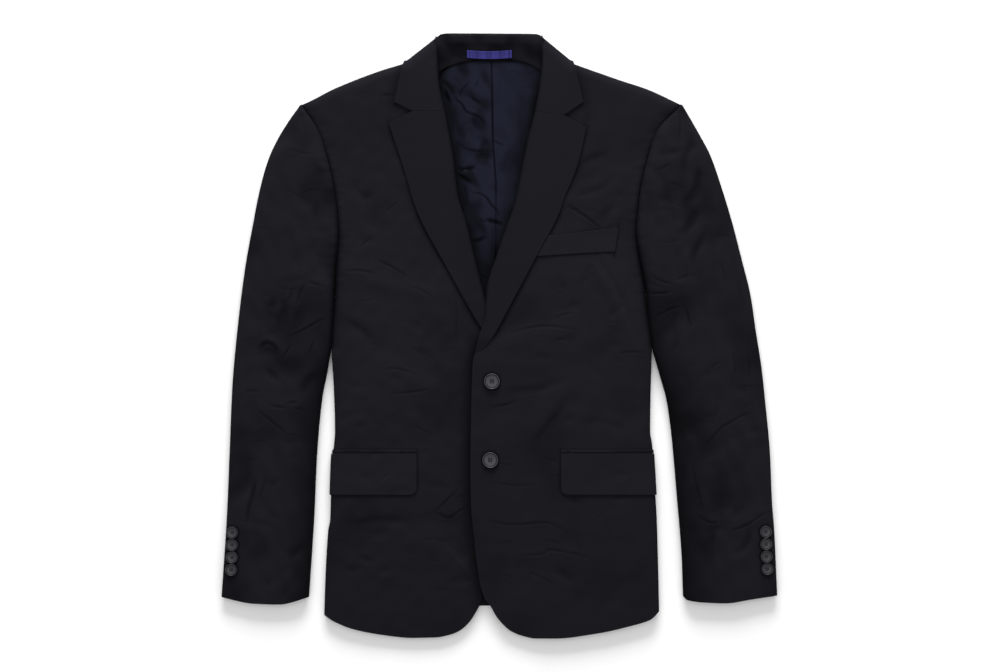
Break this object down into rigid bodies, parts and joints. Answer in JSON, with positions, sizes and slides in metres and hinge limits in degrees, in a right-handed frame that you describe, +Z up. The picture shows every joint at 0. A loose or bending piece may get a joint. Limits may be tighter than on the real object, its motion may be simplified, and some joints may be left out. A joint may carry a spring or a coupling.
{
  "type": "suit jacket",
  "caption": "Single-breasted suit jacket in dark worsted cloth, laid flat with notched lapels, flap pockets, a breast welt and open neck, cuffs and hem.",
  "frame": {"origin": "middle of the jacket's footprint, on the surface that it lies on", "axes": "+Y from the hem to the collar, +Z up out of the front, +X to the side with the breast pocket"},
  "size_m": [0.693, 0.7537, 0.0197],
  "materials": {
    "worsted": "matt worsted wool twill, near black",
    "lining": "navy lining twill with a soft sheen",
    "tape": "woven blue-violet tape",
    "button": "dark grey cast resin, satin"
  },
  "bodies": {
    "root": {"back_left": "worsted", "back_right": "worsted", "breast_welt": "worsted", "collar_fall": "worsted", "collar_leaf_left": "worsted", "collar_leaf_right": "worsted", "collar_stand": "worsted", "cuff_button_left_1": "button", "cuff_button_left_2": "button", "cuff_button_left_3": "button", "cuff_button_left_4": "button", "cuff_button_right_1": "button", "cuff_button_right_2": "button", "cuff_button_right_3": "button", "cuff_button_right_4": "button", "front_button_1": "button", "front_button_2": "button", "front_left": "worsted", "front_right": "worsted", "hanger_loop": "tape", "lapel_left": "worsted", "lapel_right": "worsted", "lining_left": "lining", "lining_right": "lining", "pocket_flap_left": "worsted", "pocket_flap_right": "worsted", "pocket_jet_left": "worsted", "pocket_jet_right": "worsted", "side_panel_left": "worsted", "side_panel_right": "worsted", "top_sleeve_left": "worsted", "top_sleeve_right": "worsted", "under_sleeve_left": "worsted", "under_sleeve_right": "worsted"}
  },
  "joints": []
}
